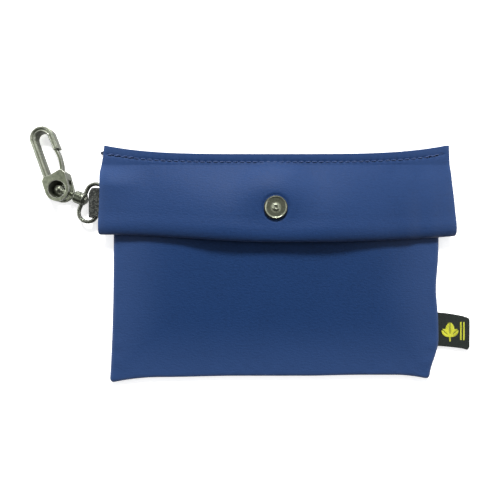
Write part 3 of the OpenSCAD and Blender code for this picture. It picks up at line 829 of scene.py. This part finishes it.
# ---- Thread ----
THREAD_SIDES = 12
STITCH_STEPS = 13
STITCH_START = 0.65
STITCH_DIVE = 0.42
LOCK_STITCHES = (-87.0, -83.4, -79.9, -76.6, 79.5, 83.0)


def stitch_path(x0, x1, shift, top, lift, dive):
    """One stitch along the topstitching, which dives into the leather at both ends."""
    t = np.linspace(0, 1, STITCH_STEPS)
    x = mix(x0, x1, t)
    arch = np.sin(np.pi * t) ** 0.45
    z = top + mix(-dive, lift, arch)
    return np.stack([x, stitch_y(x) + shift, z], 1)


def twist(step, angle):
    """The two strands of a thread, wound round each other."""
    return 1 + 0.16 * np.cos(2 * (angle - step * 0.62))


def make_needle_thread(top):
    """Top thread, sewn twice over at both ends to lock the seam."""
    paths = []
    for x in stitch_holes()[:-1] + STITCH_START:
        paths.append(stitch_path(x, x + STITCH_LEN, 0, top, 0.12, STITCH_DIVE))
    for x in LOCK_STITCHES:
        paths.append(stitch_path(x, x + STITCH_LEN, 0.5, top, 0.16, STITCH_DIVE))
    return tubes("flap_stitches", paths, 0.29, THREAD_SIDES, (0, 0, 1), twist)


def make_bobbin_thread():
    """Lower thread, sunk into the back panel."""
    arch = np.sin(np.pi * np.linspace(0, 1, STITCH_STEPS)) ** 0.45
    paths = []
    for x in stitch_holes()[:-1] + STITCH_START:
        path = stitch_path(x, x + STITCH_LEN, 0, 0.0, 0.0, 0.0)
        path[:, 2] = mix(0.62, 0.33, arch)
        paths.append(path)
    return tubes("bobbin_stitches", paths, 0.27, THREAD_SIDES, (0, 0, 1), twist)


# ---- Snap cap ----
def make_cap():
    """A domed cap with a narrow rolled rim and a raised boss in its middle."""
    z = SNAP_FLAP_Z + FLAP_T + 0.01
    r = CAP_R
    underside = [(0, z - 0.35), (r - 0.9, z - 0.35), (r - 0.2, z - 0.2)]
    rim = [(r, z + 0.3), (r - 0.12, z + 0.85), (r - 0.45, z + 1.22), (r - 0.72, z + 1.3)]
    face = [(r - 1.0, z + 1.18), (r - 1.35, z + 1.08), (3.0, z + 1.06), (2.2, z + 1.02)]
    boss = [(1.95, z + 1.1), (1.6, z + 1.42), (1.15, z + 1.62), (0.75, z + 1.52)]
    dimple = [(0.4, z + 1.42), (0, z + 1.4)]
    cap = lathe("snap_cap_shell", rounded_profile(underside + rim + face + boss + dimple, 0.3), SNAP)
    place = np.array([v.co for v in cap.data.vertices]) / MM
    radius = np.hypot(place[:, 0] - SNAP[0], place[:, 1] - SNAP[1])
    # painted shade: the skirt outside the rim is painted dark for the shadow gap round the cap, and a ring
    # round the boss is made darker
    skirt = smooth((radius - r + 0.7) / 0.22)
    moat = 0.6 * bump(radius - 2.3, 0.3)
    set_numbers(cap, "shade", np.maximum(skirt, moat))
    return cap


# ---- Strap ----
STRAP_STEP = 0.17
WEAVE_HEIGHT = 0.085


def strap_top(x):
    return STRAP_MID_Y + STRAP_W / 2 - 2.7 * smooth((-94.6 - x) / 2.6)


def strap_upper_z(x):
    return mix(LEATHER_T + 2 * STRAP_T + 0.02, AXIS_Z * 2 - LEATHER_T, smooth((STRAP_BEND_X - x) / 3.7))


def make_strap():
    """Woven strap: the lower end, the turn round the ring and the upper end."""
    reach = AXIS_Z - LEATHER_T - STRAP_T / 2
    loop_x = STRAP_FOLD_X + AXIS_Z - LEATHER_T
    lower_x = np.concatenate([STRAP_END_X - from_edge(1.0, 0.25),
                              np.arange(STRAP_END_X - 1.2, loop_x, -STRAP_STEP)])
    upper_x = lower_x[::-1]
    arc = np.radians(np.linspace(270, 90, 44)[1:-1])
    x = np.concatenate([lower_x, loop_x + reach * np.cos(arc), upper_x])
    z = np.concatenate([np.full(len(lower_x), LEATHER_T + STRAP_T / 2), AXIS_Z + reach * np.sin(arc),
                        strap_upper_z(upper_x) - STRAP_T / 2])
    v = between_edges(STRAP_W, STRAP_STEP)
    along = np.concatenate([[0], np.cumsum(np.hypot(np.diff(x), np.diff(z)))])
    xs, share = np.meshgrid(x, v / STRAP_W, indexing="ij")
    zs = np.broadcast_to(z[:, None], xs.shape)
    y = mix(STRAP_MID_Y - STRAP_W / 2, strap_top(xs), share)
    picks = np.cos(2 * np.pi * along / STRAP_PICK)[:, None]
    weave = WEAVE_HEIGHT * picks * np.cos(2 * np.pi * v / STRAP_END_PITCH)[None, :]
    edge = np.minimum(v, STRAP_W - v)
    ends = np.minimum(along, along[-1] - along)
    core_t = STRAP_T - 2 * WEAVE_HEIGHT
    half = np.minimum(edge_round(edge, core_t)[None, :], edge_round(ends, core_t)[:, None])
    half = half + np.where(half > 0.05, weave, 0) * smooth(edge / 0.6)[None, :]
    half[0], half[-1], half[:, 0], half[:, -1] = 0, 0, 0, 0
    selvedge = np.broadcast_to((0.3 * bump(edge, 0.7))[None, :], xs.shape)
    cloth = (np.broadcast_to(v[None, :], xs.shape), np.broadcast_to(along[:, None], xs.shape))
    return sheet_mesh("strap_webbing", np.dstack([xs, y, zs]), half, cloth, selvedge)


# ---- Label ----
LABEL_TOP_SAG = 2.6
LABEL_LOW_SAG = 1.9
LABEL_STEP = 0.3
LABEL_FOLD_R = 0.35
LABEL_CORNER = 1.7


def label_sag(x):
    return clamp01((x - LABEL_BEND_X) / LABEL_LEN) ** 1.5


def label_y_at(x, share):
    """The label bends down towards its fold, and narrows a little."""
    top = LABEL_Y + LABEL_W / 2 - LABEL_TOP_SAG * label_sag(x)
    bottom = LABEL_Y - LABEL_W / 2 - LABEL_LOW_SAG * label_sag(x)
    return mix(bottom, top, share)


def label_top_z(x):
    thin, thick = 2 * LABEL_T + 0.02, 1.0
    return LABEL_Z + mix(thin, thick, smooth((x - LABEL_BEND_X) / 5))


def make_label():
    """Woven ribbon: the lower layer, the fold and the upper layer."""
    loop_x = LABEL_FOLD_X - 0.5
    lower_x = np.concatenate([LABEL_END_X + from_edge(1.0, LABEL_STEP),
                              np.arange(LABEL_END_X + 1.3, loop_x, LABEL_STEP)])
    upper_x = lower_x[::-1]
    arc = np.radians(np.linspace(-90, 90, 14)[1:-1])
    mid = LABEL_Z + 0.5
    x = np.concatenate([lower_x, loop_x + LABEL_FOLD_R * np.cos(arc), upper_x])
    z = np.concatenate([np.full(len(lower_x), LABEL_Z + LABEL_T / 2), mid + LABEL_FOLD_R * np.sin(arc),
                        label_top_z(upper_x) - LABEL_T / 2])
    along = np.concatenate([[0], np.cumsum(np.hypot(np.diff(x), np.diff(z)))])
    v = between_edges(LABEL_W, LABEL_STEP)
    xs, share = np.meshgrid(x, v / LABEL_W, indexing="ij")
    y = label_y_at(xs, share)
    z_wave = 0.05 * np.sin(y / 2.7 + 0.8) * smooth((xs - LABEL_BEND_X - 2) / 6)
    zs = z[:, None] + z_wave
    edge = np.minimum(v, LABEL_W - v)
    ends = np.minimum(along, along[-1] - along)
    # the folded corners are rounded
    nip = LABEL_CORNER * (1 - np.sqrt(clamp01(1 - (1 - clamp01(edge / 2.0)) ** 2)))
    xs = xs - nip[None, :] * smooth((xs - loop_x + 3) / 3)
    half = np.minimum(edge_round(edge, LABEL_T, 0.12)[None, :], edge_round(ends, LABEL_T, 0.12)[:, None])
    half[0], half[-1], half[:, 0], half[:, -1] = 0, 0, 0, 0
    cloth = (np.broadcast_to(v[None, ::-1], xs.shape), np.broadcast_to(along[:, None], xs.shape))
    return sheet_mesh("label_ribbon_woven", np.dstack([xs, y, zs])[:, ::-1], half[:, ::-1], cloth)


def satin(a, b, z, crown=0.12):
    """One raised thread of satin stitch from a to b."""
    t = np.linspace(0, 1, 7)
    x, y = mix(a[0], b[0], t), mix(a[1], b[1], t)
    return np.stack([x, y, z + crown * np.sin(np.pi * t) ** 0.6 - 0.05], 1)


SATIN_PITCH = 0.27
SATIN_R = 0.13


def leaf_rows(foot, turn, circle, shift, z):
    """Satin stitches that fill a leaf, split along its middle. The leaf is where two
    circles overlap, turned about its foot."""
    length = math.sqrt(circle ** 2 - shift ** 2)
    c, s = math.cos(turn), math.sin(turn)
    paths = []
    for v in np.arange(-length + 0.35, length - 0.2, SATIN_PITCH):
        reach = math.sqrt(circle ** 2 - v ** 2) - shift
        for side in (-1, 1):
            ends = []
            for u, rise in ((side * 0.17, -0.25), (side * (reach + 0.1), 0.25)):
                w = v + rise + length
                ends.append((foot[0] + u * c - w * s, foot[1] + u * s + w * c))
            paths.append(satin(ends[0], ends[1], z))
    return paths


def make_motif():
    """A plain sprig of three leaves and two border bars in raised yellow thread."""
    z = LABEL_Z + 1.04
    foot_x, foot_y = BODY_HALF_W + 6.6, LABEL_Y - 4.0
    paths = leaf_rows((foot_x, foot_y), 0.0, 4.4, 2.2, z)
    for turn in (0.85, -0.85):
        paths += leaf_rows((foot_x, foot_y + 0.2), turn, 3.3, 1.75, z)
    stalk_half_w = 0.32
    for y in foot_y + np.arange(-2.2, 0.2, 0.26):
        paths.append(satin((foot_x - stalk_half_w, y), (foot_x + stalk_half_w, y + 0.1), z))
    bar_half_w, bar_mid_y = 0.36, foot_y + 3.6
    for x in (foot_x + 5.7, foot_x + 7.3):
        for rise in np.arange(-4.6, 4.7, SATIN_PITCH):
            y = bar_mid_y + rise - 0.7 * label_sag(x)
            paths.append(satin((x - bar_half_w, y), (x + bar_half_w, y + 0.12), z))
    return tubes("label_sprig", paths, SATIN_R, 7, (0, 0, 1))


# ---- Assemble ----
front = finish_piece(make_front(), BODY_LEATHER)
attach(front, "pouch")
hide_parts("front_panel")

back = finish_piece(make_back(), BODY_LEATHER)
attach(back, "pouch")
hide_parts("back_panel")

flap = finish_piece(make_flap(), FLAP_LEATHER)
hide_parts("flap", "flap_sewn_edge")
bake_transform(flap)

needle = finish_piece(make_needle_thread(LEATHER_T + FLAP_T - 0.2), THREAD)
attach(needle, "pouch")
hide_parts("flap_needle_thread")
bobbin = finish_piece(make_bobbin_thread(), THREAD)
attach(bobbin, "pouch")
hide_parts("flap_bobbin_thread")

cap = finish_piece(make_cap(), CAP_LIT_METAL)
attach(cap, "flap")
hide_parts("snap_cap")

strap = finish_piece(make_strap(), WEBBING)
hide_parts("strap_loop", "strap_tail")
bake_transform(strap)

label = finish_piece(make_label(), RIBBON)
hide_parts("label_ribbon", "label_tail")
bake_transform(label)
motif = finish_piece(make_motif(), MOTIF)
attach(motif, "label")
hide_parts("label_motif")

for name, node, body, material, voxel, rounds in (
        ("ring_eye", "swivel_ring", "ring", RING_SHADED_METAL, 0.13, 5),
        ("swivel_ball_pin", "swivel_pin", "pin", GUNMETAL, 0.13, 3),
        ("hook_casting", "hook_frame", "hook", GUNMETAL, 0.14, 4),
        ("gate_leaf", "hook_gate", "gate", GUNMETAL, 0.13, 5)):
    piece = finish_piece(cast(name, node, voxel, rounds), material)
    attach(piece, body)
    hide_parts(node)

for node, material in (("body_seam_thread", THREAD), ("strap_bartack", THREAD), ("snap_socket", CAP_LIT_METAL),
                       ("snap_stud", CAP_LIT_METAL), ("snap_post", CAP_LIT_METAL), ("snap_spring", SPRING)):
    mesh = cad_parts[node].data
    mesh.materials.clear()
    mesh.materials.append(material)


# ---- Table, light and camera ----
# the table is in millimetres; the lights and the camera are placed in metres
TABLE_HALF_W = 3000
KEY_PLACE = (-0.05, 0.90, 0.66)
CAMERA_PLACE = (-0.0135, 0.0078, 0.180)
CAMERA_LENS = 24.37


def make_table():
    g = Graph("table_white")
    g.set(Base_Color=(0.92, 0.92, 0.92), Roughness=0.9)
    g.set(Emission_Color=(1.0, 1.0, 1.0), Emission_Strength=0.65)
    w = TABLE_HALF_W
    table = build("table", [(-w, -w, 0), (w, -w, 0), (w, w, 0), (-w, w, 0)], [[0, 1, 2, 3]], False)
    table.data.materials.append(g.material)


def area_light(name, place, size, power):
    """A round white light, in metres and watts, aimed at the middle of the pouch."""
    data = bpy.data.lights.new(name, "AREA")
    data.shape = "DISK"
    data.size = size
    data.energy = power
    lamp = bpy.data.objects.new(name, data)
    bpy.context.scene.collection.objects.link(lamp)
    lamp.location = place
    lamp.rotation_mode = "QUATERNION"
    lamp.rotation_quaternion = (-Vector(place)).to_track_quat("-Z", "Y")
    return lamp


WORLD_LIGHT = 0.6
WORLD_ZENITH = 0.05
WORLD_FRONT = 0.12


def make_world():
    """Studio surroundings: dim straight overhead, bright round the top and the sides
    and weaker from below the pouch."""
    world = bpy.data.worlds.new("studio")
    bpy.context.scene.world = world
    world.use_nodes = True
    nodes, links = world.node_tree.nodes, world.node_tree.links
    place = nodes.new("ShaderNodeTexCoord")
    split = nodes.new("ShaderNodeSeparateXYZ")
    links.new(place.outputs["Generated"], split.inputs[0])

    def ramp(socket, low, high, to_low, to_high):
        node = nodes.new("ShaderNodeMapRange")
        node.interpolation_type = "SMOOTHSTEP"
        links.new(socket, node.inputs[0])
        for k, value in enumerate((low, high, to_low, to_high)):
            node.inputs[k + 1].default_value = value
        return node.outputs[0]

    share = nodes.new("ShaderNodeMath")
    share.operation = "MULTIPLY"
    links.new(ramp(split.outputs[2], 0.72, 0.97, WORLD_LIGHT, WORLD_ZENITH), share.inputs[0])
    links.new(ramp(split.outputs[1], -0.5, 0.1, WORLD_FRONT, 1.0), share.inputs[1])
    links.new(share.outputs[0], nodes["Background"].inputs["Strength"])
    nodes["Background"].inputs["Color"].default_value = (0.97, 0.98, 1.0, 1.0)


make_table()
make_world()
key = area_light("key", KEY_PLACE, 0.30, 13.0)
key.visible_glossy = False
area_light("key_sheen", KEY_PLACE, 0.20, 6.5)
for name, side in (("fill_left", -1), ("fill_right", 1)):
    area_light(name, (0.85 * side, 0.1, 0.75), 0.5, 1.4)

bpy.context.scene.view_settings.view_transform = "Standard"
camera_data = bpy.data.cameras.new("camera")
camera_data.sensor_width = 36.0
camera_data.lens = CAMERA_LENS
camera_data.clip_start = 0.01
camera_data.clip_end = 20.0
camera = bpy.data.objects.new("camera", camera_data)
camera.location = CAMERA_PLACE
camera.rotation_euler = (0, 0, 0)
bpy.context.scene.collection.objects.link(camera)
bpy.context.scene.camera = camera
